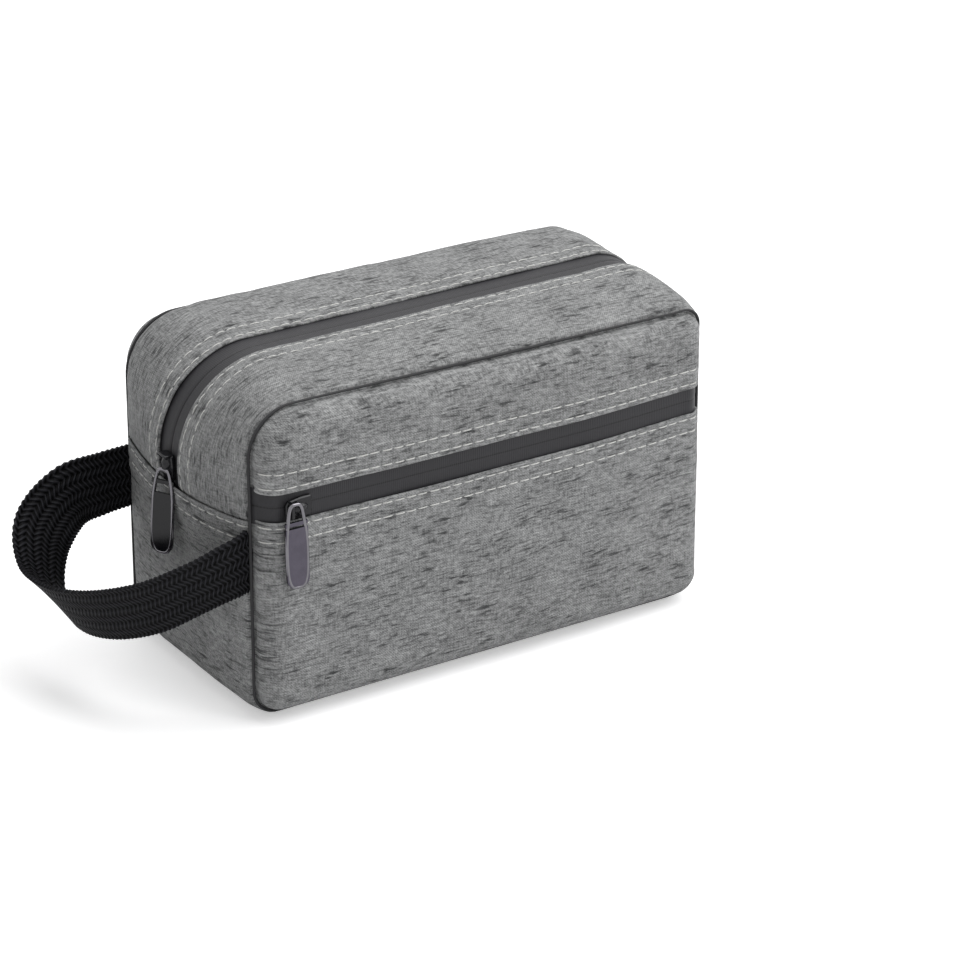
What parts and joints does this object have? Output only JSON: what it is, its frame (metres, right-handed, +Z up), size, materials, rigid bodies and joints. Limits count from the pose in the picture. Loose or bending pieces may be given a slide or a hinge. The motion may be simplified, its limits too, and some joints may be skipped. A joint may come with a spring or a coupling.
{
  "type": "toiletry bag",
  "caption": "Padded box-shaped fabric toiletry bag with a zipped mouth over its top and ends, a zipped front pocket, metal zip pulls and a webbing carrying loop at one end.",
  "frame": {"origin": "centre of the flat base, on the surface that the bag stands on", "axes": "+X along the bag's length, away from the end with the webbing loop; -Y out of the front with the pocket; +Z up"},
  "size_m": [0.3154, 0.1365, 0.156],
  "materials": {
    "outer_fabric": "heather grey plain weave, matt",
    "lining": "thin dark woven lining",
    "padding": "light foam padding between cloth and lining",
    "binding": "folded binding tape",
    "zip_tape": "ribbed coated zip tape, slight sheen",
    "zip_coil": "moulded nylon coil",
    "slider_metal": "black enamel",
    "pull_metal": "polished gunmetal",
    "webbing": "herringbone webbing"
  },
  "bodies": {
    "bag_body": {"pocket_panel": "outer_fabric", "pocket_zip_facing": "outer_fabric", "back_panel": "outer_fabric", "back_padding": "padding", "base_gusset": "outer_fabric", "gusset_hem_left": "outer_fabric", "gusset_hem_right": "outer_fabric", "base_padding": "padding", "gusset_foot_front": "outer_fabric", "gusset_foot_back": "outer_fabric", "mouth_zip_foot_tape_front": "zip_tape", "mouth_zip_foot_tape_back": "zip_tape", "mouth_zip_foot_coil_front": "zip_coil", "mouth_zip_foot_coil_back": "zip_coil", "pocket_zip_tape_upper": "zip_tape", "pocket_zip_tape_lower": "zip_tape", "pocket_zip_coil_upper": "zip_coil", "pocket_zip_coil_lower": "zip_coil", "pocket_back_wall": "lining", "lining_tub": "lining", "front_seam_binding": "binding", "back_seam_binding": "binding", "webbing_end_front": "webbing", "webbing_end_back": "webbing"},
    "mouth_front": {"front_flap_panel": "outer_fabric", "top_gusset_front": "outer_fabric", "mouth_zip_tape_front": "zip_tape", "mouth_zip_coil_front": "zip_coil", "front_flap_lining": "lining", "front_flap_binding": "binding"},
    "mouth_back": {"back_flap_panel": "outer_fabric", "top_gusset_back": "outer_fabric", "mouth_zip_tape_back": "zip_tape", "mouth_zip_coil_back": "zip_coil", "back_flap_lining": "lining", "back_flap_binding": "binding"},
    "mouth_slider": {"mouth_slider_body": "slider_metal", "mouth_slider_crown": "slider_metal"},
    "mouth_pull": {"mouth_pull": "pull_metal"},
    "pocket_slider": {"pocket_slider_body": "slider_metal", "pocket_slider_crown": "slider_metal"},
    "pocket_pull": {"pocket_pull": "pull_metal"},
    "webbing_loop": {"webbing_loop": "webbing"}
  },
  "joints": [
    {"name": "mouth_front_open", "type": "hinge", "parent": "bag_body", "child": "mouth_front", "pos_m": [0, -0.066, 0.12165], "axis": [1, 0, 0], "range_deg": [0, 40]},
    {"name": "mouth_back_open", "type": "hinge", "parent": "bag_body", "child": "mouth_back", "pos_m": [0, 0.066, 0.12165], "axis": [-1, 0, 0], "range_deg": [0, 40]},
    {"name": "mouth_slider_travel", "type": "hinge", "parent": "bag_body", "child": "mouth_slider", "pos_m": [-0.08333, 0, 0.11], "axis": [0, 1, 0], "range_deg": [0, 86]},
    {"name": "mouth_pull_lift", "type": "hinge", "parent": "mouth_slider", "child": "mouth_pull", "pos_m": [-0.13101, 0, 0.10593], "axis": [0, 1, 0], "range_deg": [0, 150]},
    {"name": "pocket_slider_travel", "type": "slide", "parent": "bag_body", "child": "pocket_slider", "axis": [1, 0, 0], "range_m": [0, 0.2]},
    {"name": "pocket_pull_swing", "type": "hinge", "parent": "pocket_slider", "child": "pocket_pull", "pos_m": [-0.1042, -0.0693, 0.1055], "axis": [0, 1, 0], "range_deg": [-5, 90]},
    {"name": "webbing_swing", "type": "hinge", "parent": "bag_body", "child": "webbing_loop", "pos_m": [-0.128, 0, 0.08], "axis": [0, 1, 0], "range_deg": [-10, 60], "stiffness_Nm_per_rad": 0.2}
  ],
  "couplings": [
    {"joint": "mouth_back_open", "follows": "mouth_front_open", "ratio": 1}
  ]
}
